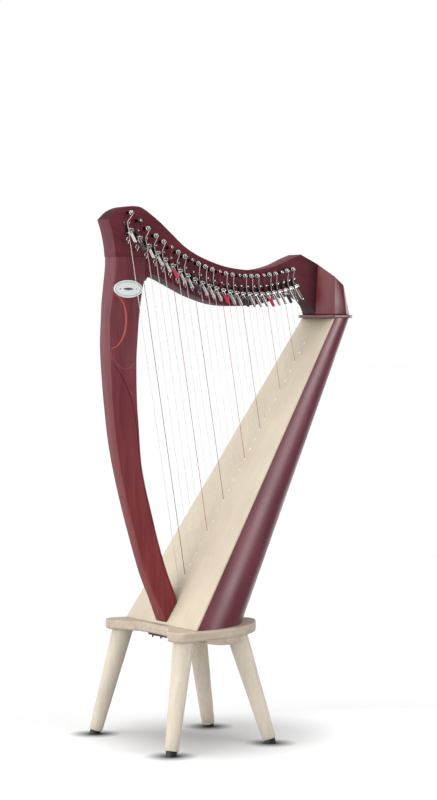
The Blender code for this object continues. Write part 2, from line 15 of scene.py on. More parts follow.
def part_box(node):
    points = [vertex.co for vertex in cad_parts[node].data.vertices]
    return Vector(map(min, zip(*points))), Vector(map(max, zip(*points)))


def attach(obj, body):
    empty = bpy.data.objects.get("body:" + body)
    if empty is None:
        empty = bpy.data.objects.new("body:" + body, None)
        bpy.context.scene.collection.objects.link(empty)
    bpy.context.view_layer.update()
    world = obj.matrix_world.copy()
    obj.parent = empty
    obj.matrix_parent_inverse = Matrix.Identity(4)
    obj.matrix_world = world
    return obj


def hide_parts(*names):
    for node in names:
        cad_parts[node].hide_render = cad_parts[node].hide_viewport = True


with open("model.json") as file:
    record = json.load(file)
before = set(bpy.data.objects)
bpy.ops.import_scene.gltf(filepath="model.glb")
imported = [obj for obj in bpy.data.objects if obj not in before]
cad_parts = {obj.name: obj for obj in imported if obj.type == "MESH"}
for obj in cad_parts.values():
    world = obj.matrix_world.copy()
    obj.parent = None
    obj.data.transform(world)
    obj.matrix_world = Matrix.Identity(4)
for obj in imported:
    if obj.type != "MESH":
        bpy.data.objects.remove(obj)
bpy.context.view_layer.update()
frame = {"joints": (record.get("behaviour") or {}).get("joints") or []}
scene = bpy.context.scene
joints = {joint["name"]: joint for joint in frame["joints"]}

# ---- driving dimensions, shared with the CAD part or fitted to it ----
MM = 0.001
AWAY = Vector((0, 1, 0))          # from the side with the strings
DOWNWARDS = Vector((0, 0, -1))
STRINGS = 25
NOSE = (-64.4, 1054.6)
ORIGIN_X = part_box("neck")[0].x / MM - NOSE[0]     # the neck's nose is the model's lowest x
GAP = 0.3
NECK_HALF = 24.0

BOARD_SLOPE = radians(58.6)
BOARD_FOOT = (65.5, 240.6)
BOARD_LENGTH = 725.5
BOARD_HALF_LOW = 143.8
BOARD_HALF_TOP = 60.4
BOARD_THICK = 4.0
SHELL_DEPTH_LOW = 171.0
SHELL_DEPTH_TOP = 67.5
SHELL_WALL = 4.5
SHELL_END = 8.0
SEAT_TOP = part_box("stool_seat")[1].z / MM
SEAT_LOW = SEAT_TOP - 20.0
SEAT_ROUND_LOW = 5.0
SEAT_ROUND_TOP = 3.5
COLLAR_LOW = 860.2
COLLAR_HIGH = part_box("soundbox_shell")[1].z / MM
COLLAR_LIP = 6.5
SOUND_HOLES = [(345.0, 27.0, 24.0), (500.0, 24.0, 22.0), (640.0, 20.0, 18.0)]

PIN_RADIUS = 3.0
PIN_TIP_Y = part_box("tuning_pin_01")[0].y / MM
PIN_KEY_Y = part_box("tuning_pin_01")[1].y / MM
KEY_START_Y = 27.0
STRING_Y = -41.5
BRIDGE_RADIUS = 1.5
BRIDGE_TIP_Y = -44.0
STRING_RADIUS_BASS = 0.55
STRING_RADIUS_TREBLE = 0.3
ANCHOR_FIRST = 86.4
ANCHOR_STEP_BASS = 25.6
ANCHOR_STEP_TREBLE = 22.5
RIB_DEPTH = BOARD_THICK + GAP
RIB_THICK = 8.0
RIB_HALF = 9.0

LEVER_REST = radians(54.0)
LEVER_LENGTH = 30.0
LEVER_HUB = 2.6
LEVER_LOBE = 4.6
LEVER_HALF = 3.3
LEVER_LOOP_HALF = 2.4
LEVER_LOBE_TURN = radians(144)
SLEEVE_START = 10.5           # how far from the axle the coloured sleeve of a C or F lever begins
WEB_START = 8.0               # where the thin web inside a plain handle's rim begins
HOOK_DROP = (38.0, 30.0)      # distance below the bridge pin of the first and of the last hook
HOOK_RADIUS = 3.6
POST_OFFSET = 5.6
PLATE_HALF = 3.6              # half width of a lever's base plate
PLATE_SCREW = 7.0             # how far its screws are from its middle
FRET_DROP = 22.0              # how far the fret is below the bridge pin
FRET_BACK = 3.2               # and behind the string
COIL_TURNS = 3.4
KNOT_HALF = 1.3

FOOT_RADIUS = 11.0
FOOT_HEIGHT = 9.0
LEG_LOW_RADIUS = 13.7
LEG_TOP_RADIUS = 21.0
LEG_EDGE = 1.4                # rounding of a leg's lower edge
LEGS = {"stool_leg_front_left": ((0.0, 160.4), (48.4, 125.8)),
        "stool_leg_front_right": ((0.0, -160.4), (48.4, -125.8)),
        "stool_leg_back_left": ((252.0, 124.0), (196.8, 82.6)),
        "stool_leg_back_right": ((252.0, -124.0), (196.8, -82.6))}

JOINT_X = 19.4
JOINT_Z = 980.8
PEAK = (387.0, 991.4)
NECK_TOP = [NOSE, (-47, 1070.6), (-27, 1079.4), (-5, 1081.8), (15, 1077.2), (50, 1053.3),
            (78, 1029.8), (107, 1005.2), (135, 988.6), (167, 975.3), (205, 964.2), (245, 958.6),
            (270, 958.2), (300, 961), (333, 969.3), (363, 982.3), PEAK]
CREASE_TOP = (428.8, 971.7)
CREASE_LOW = (421.6, COLLAR_HIGH + GAP)
NECK_UNDER = [CREASE_LOW, (418.4, 878), (410.4, 890.3), (399.5, 899), (384, 904.6), (364, 905),
              (344.8, 902.8), (310, 893.8), (280, 887), (245, 884.2), (214, 884.6), (184, 888.6),
              (157, 896.2), (127, 906.6), (94, 922.2), (66, 935.4), (43, 944.2), (31, 944.4),
              (23.5, 939.4), (JOINT_X + GAP / 2, 933)]
NECK_FRONT = [(-48.2, JOINT_Z + GAP / 2), (-50.6, 1003), (-56.5, 1031), NOSE]
PILLAR_FRONT = [(-48.2, JOINT_Z - GAP / 2), (-48.5, 960), (-53.4, 916), (-58.6, 868), (-60.3, 815),
                (-58.2, 758), (-52.5, 682), (-42.6, 602), (-26, 520), (1, 420), (24.4, 346),
                (47, 294), (68, 248)]
PILLAR_INNER = [(JOINT_X - GAP / 2, 933), (15.3, 928.5), (6.6, 873), (1.2, 809), (-0.8, 765),
                (1.6, 695), (6.3, 644), (12.8, 575), (22.6, 523), (37.3, 466), (54.7, 401),
                (73.8, 343.6), (96, 290)]
# Half width of the pillar's front face, and the share of its side that the sloping facet takes.
PILLAR_FRONT_HALF = [(1000, 23.2), (905, 23.2), (852, 20.6), (799, 22.4), (640, 19.5), (500, 17.0),
                     (380, 15.5), (300, 17.0), (240, 22.5)]
PILLAR_FACET = [(1000, 0.0), (805, 0.0), (772, 0.06), (740, 0.42), (700, 0.71), (650, 0.84),
                (560, 0.88), (240, 0.88)]
PILLAR_ROUND = 1.8            # rounding of its front corners
CREASE_LEAST = 2.6            # least distance of its creases from the corners
PILLAR_STEP = 3.0             # height between two of its rings
PILLAR_INNER_HALF = [(1000, 23.6), (760, 23.6), (560, 17.0), (240, 17.0)]
CORNER_SHADE_START = 372.0          # x where painted shade starts to darken the neck towards the block
CORNER_SHADE_END = 424.0
NOSE_SHADE_END = 24.0               # painted shade darkens the nose as far as this x
NOSE_STEEP = 0.3              # on faces whose normal points up by more than this
SCOOP_HEIGHT = 852.0
SCOOP_HALF = 53.0
SCOOP_TURN = 88.65            # degrees from its middle to its ends
ARC_NARROW = 0.6              # half width of the carved arc at its ends and at its middle
ARC_WIDE = 2.3
SCOOP_DEPTH = 33.0

BLOCK_LOW = [(421.6, 24.0), (446.7, 60.0), (484.0, 49.0), (511.0, 19.0)]
BLOCK_TOP = [(428.8, 24.0, 971.7), (446.5, 60.0, 946.3), (478.8, 45.0, 928.8), (496.0, 19.0, 923.5)]
BRIDGE_ROW = [(-28.8, 1048.7), (32, 1004.3), (83.9, 969.7), (135.2, 946.2), (184.2, 931.9),
              (230.9, 925.3), (276.1, 925.1), (319, 930.6), (358.8, 940.8)]

SEAT_LOBE = (43.0, -128.0, 30.0)      # x, y and radius of the lobe over the front right leg
SEAT_BACK = [(95, -152), (140, -142), (178, -126), (212, -104), (243, -76), (266, -44), (281, -16),
             (284, 0)]
SEAT_WAIST = [(54, 0), (49, -62)]
BELLY = [(76, 0), (75, -60), (84, -140), (102, -148), (140, -138.5), (176, -123), (182, -113),
         (170, -97), (165, -65), (188, -42), (222, -30)]
BELLY_DEEP = 13.0                     # how far the seat's thicker middle reaches below its edge
BELLY_DRAW = 5.0                      # how far its sides draw in towards its bottom
BELLY_ENDS = (62.0, 240.0)            # the x range over which its underside bows down

RAIL_X = 65.0
RAIL_HALF = 34.0
RAIL_WIDE = 7.0

BADGE_CENTRE = (-20.6, 916.7)
BADGE_HALF = (32.4, 17.6)


# ---- mesh helpers ----
def at(place):
    """Design point in millimetres to a point of the row frame in metres."""
    return Vector((place[0] + ORIGIN_X, place[1], place[2])) * MM


def design(place):
    """Point of the row frame in metres to a design point in millimetres."""
    return Vector((place[0] / MM - ORIGIN_X, place[1] / MM, place[2] / MM))


def mix(low, high, share):
    """Value at a share of the way from one number to another."""
    return low + (high - low) * share


def even(number):
    """One number three times: a grey, or a size along each axis."""
    return (number, number, number)


def piece(name, bm, finishes, stands_for=(), body="root", sharp=35.0):
    """Object from a bmesh; it rides on a body and stands for the CAD nodes it takes over."""
    bmesh.ops.remove_doubles(bm, verts=bm.verts, dist=1e-7)
    bmesh.ops.recalc_face_normals(bm, faces=bm.faces)
    mesh = bpy.data.meshes.new(name)
    bm.to_mesh(mesh)
    bm.free()
    made = bpy.data.objects.new(name, mesh)
    scene.collection.objects.link(made)
    for finish in finishes:
        mesh.materials.append(finish)
    smooth(made, sharp)
    if body:
        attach(made, body)
        if stands_for:
            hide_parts(*stands_for)
    return made


def form(name, bm, *finishes):
    """Mesh that rides on nothing: a solid that only shapes another one, or the floor."""
    return piece(name, bm, finishes, body=None)


def smooth(obj, sharp=35.0):
    obj.data.shade_smooth()
    obj.data.set_sharp_from_angle(angle=radians(sharp))


def settle(obj):
    """Turn an object's modifiers into its own mesh."""
    graph = bpy.context.evaluated_depsgraph_get()
    made = bpy.data.meshes.new_from_object(obj.evaluated_get(graph))
    old = obj.data
    obj.modifiers.clear()
    obj.data = made
    bpy.data.meshes.remove(old)
    smooth(obj)


def round_edges(obj, width, segments, angle):
    step = obj.modifiers.new("rounded_edges", "BEVEL")
    step.width = width * MM
    step.segments = segments
    step.limit_method = "ANGLE"
    step.angle_limit = radians(angle)
    settle(obj)


def boolean(target, cutter, operation="DIFFERENCE"):
    step = target.modifiers.new(operation.lower(), "BOOLEAN")
    step.operation = operation
    step.solver = "EXACT"
    step.object = cutter
    settle(target)
    bpy.data.objects.remove(cutter)


def smooth_curve(points, pieces):
    """Catmull-Rom curve through the points, with some straight pieces between neighbours."""
    first = [2 * a - b for a, b in zip(points[0], points[1])]
    last = [2 * a - b for a, b in zip(points[-1], points[-2])]
    ends = [first, *points, last]
    curve = []
    for i in range(1, len(ends) - 2):
        for k in range(pieces):
            t = k / pieces
            curve.append(tuple(
                0.5 * (2 * b + (c - a) * t + (2 * a - 5 * b + 4 * c - d) * t ** 2
                       + (3 * b - a - 3 * c + d) * t ** 3)
                for a, b, c, d in zip(*ends[i - 1:i + 3])))
    curve.append(tuple(points[-1]))
    return curve


def table(points, height, ease=False):
    """Reading of a list of (height, value), highest first; eased, it is level at those heights."""
    for (high, upper), (low, lower) in zip(points, points[1:]):
        if height >= low:
            t = (height - low) / (high - low)
            return mix(lower, upper, t * t * (3 - 2 * t) if ease else t)
    return points[-1][1]


def x_at(edge, height):
    return table([(z, x) for x, z in edge], height)


def loft(bm, rings, finish=0, closed=False):
    """Skin rings of design points, and cap both ends unless the last ring joins the first."""
    made = [[bm.verts.new(at(p)) for p in ring] for ring in rings]
    count = len(made[0])
    pairs = list(zip(made, made[1:]))
    faces = []
    if closed:
        pairs.append((made[-1], made[0]))
    else:
        faces += [bm.faces.new(list(reversed(made[0]))), bm.faces.new(made[-1])]
    for low, high in pairs:
        for i in range(count):
            j = (i + 1) % count
            faces.append(bm.faces.new([low[i], low[j], high[j], high[i]]))
    for face in faces:
        face.material_index = finish


def around(sides, phase=0.0):
    return [2 * pi * (i + phase) / sides for i in range(sides)]


def arc(start, end, steps, radius=1.0, centre=(0, 0)):
    """Points of an arc from one angle to another, in degrees."""
    angles = [radians(mix(start, end, i / steps)) for i in range(steps + 1)]
    return [(centre[0] + radius * cos(a), centre[1] + radius * sin(a)) for a in angles]


def stadium(half_width, half_length, steps):
    """Outline of a slot with round ends; its second axis is the long one."""
    return (arc(0, 180, steps, half_width, (0, half_length))
            + arc(180, 360, steps, half_width, (0, -half_length)))


def level(outline, height):
    return [Vector((x, y, height)) for x, y in outline]


def lofted(rings, finish=0):
    """New bmesh that holds one loft."""
    bm = bmesh.new()
    loft(bm, rings, finish)
    return bm


def circle(centre, across, upward, radius, sides):
    return [centre + (cos(a) * across + sin(a) * upward) * radius for a in around(sides, 0.5)]


def square_axes(axis):
    """Two unit vectors square to an axis and to each other."""
    guide = Vector((0, 0, 1)) if abs(axis.z) < 0.9 else Vector((1, 0, 0))
    across = axis.cross(guide).normalized()
    return across, axis.cross(across).normalized()


def turned(bm, start, axis, profile, sides, finish=0):
    """Round solid about an axis from a profile of (distance along it, radius)."""
    across, upward = square_axes(axis)
    loft(bm, [circle(start + axis * along, across, upward, radius, sides)
              for along, radius in profile], finish)


def heading(path, i, closed=False):
    after = path[(i + 1) % len(path)] if closed else path[min(i + 1, len(path) - 1)]
    return (after - path[i - 1 if closed else max(i - 1, 0)]).normalized()


def wire(bm, path, radius, sides, finish=0, closed=False):
    """Round tube along a path; its cross-section turns as little as it can."""
    rings = []
    across = square_axes(heading(path, 0, closed))[0]
    for i, here in enumerate(path):
        run = heading(path, i, closed)
        across = (across - run * across.dot(run)).normalized()
        rings.append(circle(here, across, run.cross(across), radius, sides))
    loft(bm, rings, finish, closed)


def ribbon(bm, path, narrow, wide, thick):
    """Flat raised line in a plane across Y, widest at its middle; widths are halves."""
    rings = []
    for i, place in enumerate(path):
        half = mix(narrow, wide, sin(pi * i / (len(path) - 1)))
        across = heading(path, i).cross(AWAY) * half
        rings.append(circle(place, across, AWAY * thick, 1.0, 12))
    loft(bm, rings)


def slab(bm, outline, y_low, y_high):
    loft(bm, [[Vector((x, y, z)) for x, z in outline] for y in (y_low, y_high)])


def inset_outline(outline, distance):
    """Closed plan outline (x, y), running anticlockwise, moved inwards."""
    count = len(outline)
    made = []
    for i, (x, y) in enumerate(outline):
        (x0, y0), (x1, y1) = outline[i - 1], outline[(i + 1) % count]
        run = Vector((x1 - x0, y1 - y0)).normalized()
        made.append((x - run.y * distance, y + run.x * distance))
    return made


# ---- materials ----
def node(tree, kind, inputs=None, **settings):
    """Add a shader node; an input is either a value or the socket that feeds it."""
    made = tree.nodes.new("ShaderNode" + kind)
    for key, value in settings.items():
        setattr(made, key, value)
    for key, value in (inputs or {}).items():
        if isinstance(value, bpy.types.NodeSocket):
            tree.links.new(value, made.inputs[key])
        else:
            made.inputs[key].default_value = value
    return made


def ramp(tree, factor, stops):
    made = node(tree, "ValToRGB", {"Fac": factor})
    elements = made.color_ramp.elements
    while len(elements) < len(stops):
        elements.new(0.5)
    for element, (place, colour) in zip(elements, stops):
        element.position = place
        element.color = (*colour, 1.0)
    return made.outputs["Color"]


def noise(tree, vector, size, detail, rough=0.55, warp=0.0):
    """Noise whose features are about size metres across; size may differ along each axis."""
    place = node(tree, "Mapping", {"Vector": vector, "Scale": size}, vector_type="TEXTURE").outputs[0]
    made = node(tree, "TexNoise", {"Vector": place, "Scale": 1.0, "Detail": detail,
                                   "Roughness": rough, "Distortion": warp})
    return made.outputs["Fac"]


def mixed(tree, first, second, factor=1.0, blend="MULTIPLY"):
    made = node(tree, "Mix", {0: factor, 6: first, 7: second}, data_type="RGBA", blend_type=blend)
    return made.outputs[2]


def spread(tree, value, low, high, start=0.3, end=0.7):
    made = node(tree, "MapRange", {"Value": value, "From Min": start, "From Max": end,
                                   "To Min": low, "To Max": high})
    return made.outputs["Result"]


def measure(tree, operation, first, second, kind="Math"):
    """Number that a math node, or a vector math node, makes of two values."""
    return node(tree, kind, {0: first, 1: second}, operation=operation).outputs["Value"]


def finish_base(name, **sockets):
    """New material, its tree, its shader with plain values on its sockets, and its coordinates."""
    made = bpy.data.materials.new(name)
    made.use_nodes = True
    tree = made.node_tree
    shader = tree.nodes["Principled BSDF"]
    for key, value in sockets.items():
        shader.inputs[key.replace("_", " ")].default_value = value
    return made, tree, shader, node(tree, "TexCoord").outputs["Object"]


def connect(tree, shader, colour, rough=None, height=None, bump=0.1, depth=0.0001):
    tree.links.new(colour, shader.inputs["Base Color"])
    if rough is not None:
        tree.links.new(rough, shader.inputs["Roughness"])
        made = node(tree, "Bump", {"Height": height, "Strength": bump, "Distance": depth})
        tree.links.new(made.outputs["Normal"], shader.inputs["Normal"])


def wood(name, tones, rough, slope, figure, contrast=1.0, gloss=0.5, high_tint=None, low_tint=None,
         grain=0.55):
    """Wood whose grain slopes by some degrees above X; figure is the width of its bands in metres."""
    made, tree, shader, place = finish_base(name, Specular_IOR_Level=gloss)
    along = node(tree, "Mapping", {"Vector": place, "Rotation": (0, -radians(slope), 0)},
                 vector_type="TEXTURE").outputs["Vector"]
    bands = noise(tree, along, (figure * 14, figure, figure), 3.0, 0.5, 0.6)
    fibres = noise(tree, along, (0.06, 0.0011, 0.0011), 3.0, 0.6)
    pores = noise(tree, along, (0.009, 0.0005, 0.0005), 1.0, 0.5)
    clouds = noise(tree, place, even(0.11), 2.0, 0.5)
    half = 0.2 / contrast
    colour = ramp(tree, bands, [(0.5 - half, tones[0]), (0.5, tones[1]), (0.5 + half, tones[2])])
    streaks = ramp(tree, fibres, [(0.3, even(0.84)), (0.62, even(1.0))])
    colour = mixed(tree, colour, streaks, grain)
    dots = ramp(tree, pores, [(0.28, (0.62, 0.60, 0.60)), (0.36, even(1.0))])
    colour = mixed(tree, colour, dots, grain * 0.8)
    shade = ramp(tree, clouds, [(0.32, (0.88, 0.87, 0.87)), (0.68, even(1.0))])
    colour = mixed(tree, colour, shade)
    # A low_tint unlike high_tint changes the colour with height; on the pillar that is painted sheen,
    # greyer towards the top and redder lower down.
    if high_tint:
        height = node(tree, "SeparateXYZ", {"Vector": place}).outputs["Z"]
        tint = mixed(tree, (*(low_tint or high_tint), 1.0), (*high_tint, 1.0),
                     spread(tree, height, 0.0, 1.0, 0.35, 0.85), "MIX")
        colour = mixed(tree, colour, tint)
    gloss_spread = spread(tree, clouds, rough - 0.05, rough + 0.06)
    connect(tree, shader, colour, gloss_spread, fibres, 0.16, 0.00025)
    return made


def paint_corner_shade(finish, start, end, tone):
    """Painted shade in an inner corner: the finish darkens from one x to another, in metres."""
    tree = finish.node_tree
    socket = tree.nodes["Principled BSDF"].inputs["Base Color"]
    place = node(tree, "TexCoord").outputs["Object"]
    along = node(tree, "SeparateXYZ", {"Vector": place}).outputs["X"]
    shade = ramp(tree, spread(tree, along, 0.0, 1.0, start, end),
                 [(0.0, even(1.0)), (0.5, (0.78, 0.80, 0.80)), (1.0, tone)])
    tree.links.new(mixed(tree, socket.links[0].from_socket, shade), socket)


def metal(name, colour, rough):
    made, tree, shader, place = finish_base(name, Metallic=1.0)
    smudges = noise(tree, place, even(0.006), 3.0)
    scratches = noise(tree, place, (0.004, 0.0003, 0.0003), 2.0)
    tone = ramp(tree, smudges, [(0.3, tuple(c * 0.86 for c in colour)), (0.7, colour)])
    connect(tree, shader, tone, spread(tree, scratches, rough - 0.08, rough + 0.08), scratches, 0.08)
    return made


def plastic(name, colour, rough, size=0.002, gloss=0.5):
    made, tree, shader, place = finish_base(name, Specular_IOR_Level=gloss)
    grain = noise(tree, place, even(size), 3.0)
    tone = ramp(tree, grain, [(0.3, tuple(c * 0.88 for c in colour)), (0.7, colour)])
    connect(tree, shader, tone, spread(tree, grain, rough - 0.05, rough + 0.05), grain)
    return made


WINE = [(0.078, 0.0105, 0.0140), (0.097, 0.0133, 0.0175), (0.114, 0.0160, 0.0208)]
BOARD_GRAIN = degrees(BOARD_SLOPE)
neck_wine = wood("neck_stain_and_corner_shade", WINE, 0.38, -12, 0.012, gloss=0.12, high_tint=(1.0, 1.4, 1.5),
                 grain=0.3)
# Darker copy of the neck's stain for the nose's upward faces: painted shade.
nose_shade_wine = wood("neck_nose_painted_shade", WINE, 0.42, -12, 0.008, gloss=0.05, high_tint=(0.45, 0.9, 1.0),
                grain=0.3)
# The block's upright grain is its own; its redder, brighter tint is painted light on the block's lit
# front.
block_lit_wine = wood("block_stain_and_painted_light", WINE, 0.34, 86, 0.009, gloss=0.3, high_tint=(1.3, 1.25, 1.2),
                  grain=0.6)
# Painted shade: the neck's finish darkens towards its inner corner with the block.
paint_corner_shade(neck_wine, at((CORNER_SHADE_START, 0, 0)).x, at((CORNER_SHADE_END, 0, 0)).x, (0.36, 0.40, 0.42))
# Pillar: stain tint with a painted sheen gradient that turns greyer towards the top.
pillar_wine = wood("pillar_stain_and_sheen", WINE, 0.38, 92, 0.010, gloss=0.16, high_tint=(1.3, 2.2, 2.2),
                   low_tint=(1.6, 2.0, 1.6), grain=0.3)
shell_wine = wood("shell_wine_stain", WINE, 0.34, 64, 0.020, 0.8, 0.45, (1.25, 1.65, 1.95), grain=0.2)
raw_wood = wood("raw_inside_wood", [(0.30, 0.20, 0.11), (0.38, 0.26, 0.15), (0.44, 0.31, 0.19)], 0.7,
                BOARD_GRAIN, 0.012, 1.0, 0.3)
board_maple = wood("soundboard_maple",
                   [(0.477, 0.415, 0.322), (0.495, 0.431, 0.336), (0.514, 0.447, 0.350)], 0.52,
                   BOARD_GRAIN, 0.0045, 0.9, 0.3)
seat_maple = wood("seat_maple", [(0.37, 0.298, 0.230), (0.415, 0.342, 0.268), (0.45, 0.380, 0.302)],
                  0.5, 0, 0.010, 1.0, 0.25)
leg_maple = wood("leg_maple", [(0.475, 0.425, 0.345), (0.515, 0.462, 0.378), (0.55, 0.495, 0.41)],
                 0.5, 88, 0.007, 0.9, 0.25)
# Lighter orange-red of the carved lines: painted highlight on the carving's edges.
arc_highlight = plastic("carving_painted_highlight", (0.34, 0.060, 0.038), 0.4)
nickel = metal("nickel_plate", (0.56, 0.545, 0.52), 0.26)
dark_steel = metal("blued_steel", (0.035, 0.033, 0.033), 0.36)
clear_nylon = plastic("clear_nylon", (0.60, 0.60, 0.59), 0.28, 0.004)
red_nylon = plastic("red_nylon", (0.30, 0.012, 0.028), 0.3, 0.004)
black_nylon = plastic("black_nylon", (0.012, 0.012, 0.014), 0.3, 0.004)
red_sleeve = plastic("red_sleeve", (0.36, 0.006, 0.034), 0.32)
black_sleeve = plastic("black_sleeve", (0.014, 0.014, 0.016), 0.36)
rubber = plastic("black_rubber", (0.012, 0.012, 0.012), 0.6, gloss=0.4)
eyelet_bone = plastic("eyelet_bone", (0.70, 0.66, 0.56), 0.35)
badge_enamel = plastic("badge_enamel", (0.57, 0.605, 0.60), 0.3)
badge_line = plastic("badge_line", (0.06, 0.07, 0.075), 0.4)


# ---- places that several pieces share ----
def along_row(row):
    return smooth_curve(row, (STRINGS - 1) // (len(row) - 1))


def board_point(distance, y=0.0, depth=0.0):
    """Design point on the soundboard, at a depth behind its front face."""
    x = BOARD_FOOT[0] + distance * cos(BOARD_SLOPE) + depth * sin(BOARD_SLOPE)
    z = BOARD_FOOT[1] + distance * sin(BOARD_SLOPE) - depth * cos(BOARD_SLOPE)
    return Vector((x, y, z))


def board_corners(low, high, half_low, half_high, depth):
    return [board_point(low, -half_low, depth), board_point(low, half_low, depth),
            board_point(high, half_high, depth), board_point(high, -half_high, depth)]


def anchor_distances():
    distances = [ANCHOR_FIRST]
    for i in range(STRINGS - 1):
        step = mix(ANCHOR_STEP_BASS, ANCHOR_STEP_TREBLE, i / (STRINGS - 2))
        distances.append(distances[-1] + step)
    return distances


def string_radius(index):
    return mix(STRING_RADIUS_BASS, STRING_RADIUS_TREBLE, index / (STRINGS - 1))


PINS = [design(joints["tuning_pin_%02d_turn" % (i + 1)]["pos_m"]) for i in range(STRINGS)]
BRIDGES = along_row(BRIDGE_ROW)
ANCHORS = anchor_distances()


def flat(run):
    return Vector((run.x, 0, run.z)).normalized()


def bend_offset(arriving, leaving, radius):
    """From a bridge pin's centre to the corner of a string that runs round its left side."""
    arriving, leaving = flat(arriving), flat(leaving)
    half_turn = arriving.angle(leaving) / 2
    return (arriving - leaving).normalized() * (BRIDGE_RADIUS + GAP + radius) / cos(half_turn)


def string_corners(index):
    """Coil tangent, corner at the bridge pin, and where the string goes through the soundboard."""
    radius = string_radius(index)
    pin = Vector((PINS[index].x, STRING_Y, PINS[index].z))
    bridge = Vector((BRIDGES[index][0], STRING_Y, BRIDGES[index][1]))
    front = board_point(ANCHORS[index])
    coil_radius = PIN_RADIUS + GAP + radius
    bend = bridge
    for _ in range(3):
        reach = bend - pin
        angle = atan2(reach.z, reach.x) + acos(coil_radius / reach.length)
        start = pin + Vector((cos(angle), 0, sin(angle))) * coil_radius
        bend = bridge + bend_offset(bridge - start, front - bridge, radius)
    return start, bend, front


def string_kind(index):
    """0 for clear strings, 1 for the red C strings and 2 for the black F strings."""
    return {1: 1, 4: 2}.get((index + 3) % 7, 0)


# ---- neck, pillar and badge ----
def make_neck():
    top = smooth_curve(NECK_TOP, 7)
    under = smooth_curve(NECK_UNDER, 5)
    front = smooth_curve(NECK_FRONT, 5)
    inside_block = [CREASE_TOP, (445, 955), (445, COLLAR_HIGH + GAP)]
    outline = top + inside_block + under + [(JOINT_X + GAP / 2, JOINT_Z + GAP / 2)] + front[:-1]
    bm = bmesh.new()
    slab(bm, outline, -NECK_HALF, NECK_HALF)
    neck = piece("neck_wood", bm, [neck_wine, nose_shade_wine, block_lit_wine], ["neck"])
    # Painted shade: faces of the nose that point upwards take the darker copy of the stain.
    for face in neck.data.polygons:
        if face.center.x < at((NOSE_SHADE_END, 0, 0)).x and face.normal.z > NOSE_STEEP:
            face.material_index = 1
    round_edges(neck, 1.2, 3, 40)

    bm = bmesh.new()
    for side in (-1, 1):
        for x, y in BLOCK_LOW:
            bm.verts.new(at((x, side * y, COLLAR_HIGH + GAP)))
        for x, y, z in BLOCK_TOP:
            bm.verts.new(at((x, side * y, z)))
    bmesh.ops.convex_hull(bm, input=bm.verts)
    bmesh.ops.dissolve_limit(bm, angle_limit=0.02, verts=bm.verts, edges=bm.edges)
    block = form("block_form", bm, neck_wine, nose_shade_wine, block_lit_wine)
    # The block takes the copy of the stain that is brightened with painted light.
    for face in block.data.polygons:
        face.material_index = 2
    round_edges(block, 1.6, 3, 15)
    boolean(neck, block, "UNION")

    bm = bmesh.new()
    for pin in PINS:
        turned(bm, Vector((pin.x, -NECK_HALF - 3, pin.z)), AWAY,
               [(0, PIN_RADIUS + GAP), (2 * NECK_HALF + 6, PIN_RADIUS + GAP)], 24)
    boolean(neck, form("bore_form", bm, neck_wine))


FACET_CURVE = smooth_curve(PILLAR_FACET, 8)


def scoop(height):
    """Width of the scoop cut into the pillar's front edge, and how full it is, from 0 to 1."""
    share = 1 - ((height - SCOOP_HEIGHT) / SCOOP_HALF) ** 2
    return sqrt(share) if share > 0 else 0.0


def pillar_half(x_front, x_inner, z_front, z_inner):
    """Points (x, half thickness, z) across one side of the pillar at a height."""
    width = x_inner - x_front
    front_half = table(PILLAR_FRONT_HALF, z_front, True)
    inner_half = table(PILLAR_INNER_HALF, z_front)
    facet = max(0.0, table(FACET_CURVE, z_front))
    crease = max(CREASE_LEAST, SCOOP_DEPTH * scoop(z_front), facet * width)
    chamfer = width - 0.8 - (NECK_HALF - inner_half) * 0.6
    crease = min(crease, chamfer - CREASE_LEAST)
    fullness = min(1.0, (crease - CREASE_LEAST) / 7)
    step = 0.9 * fullness
    groove = 1.5 * fullness
    profile = [(0.0, front_half - PILLAR_ROUND), (0.5, front_half - 0.5), (PILLAR_ROUND, front_half)]
    profile += [(mix(PILLAR_ROUND, crease, k / 3), mix(front_half, NECK_HALF - step, k / 3))
                for k in (1, 2, 3)]
    profile += [(crease + 0.8, NECK_HALF - step - groove), (crease + 1.7, NECK_HALF),
                (chamfer, NECK_HALF), (width - 0.6, inner_half + 0.2), (width, inner_half - 0.8)]
    return [(x_front + along, half, z_front + along / width * (z_inner - z_front))
            for along, half in profile]


def board_meeting(edge):
    """Last point of a falling side-view edge that is still clear of the soundboard."""
    slope = tan(BOARD_SLOPE)
    lift = 2 * GAP / cos(BOARD_SLOPE)
    clear = [(x, z, z - BOARD_FOOT[1] - lift - (x - BOARD_FOOT[0]) * slope) for x, z in edge]
    for (x0, z0, before), (x1, z1, after) in zip(clear, clear[1:]):
        if after < 0:
            share = before / (before - after)
            return x0 + share * (x1 - x0), z0 + share * (z1 - z0)
    return edge[-1][0], BOARD_FOOT[1] + lift + (edge[-1][0] - BOARD_FOOT[0]) * slope


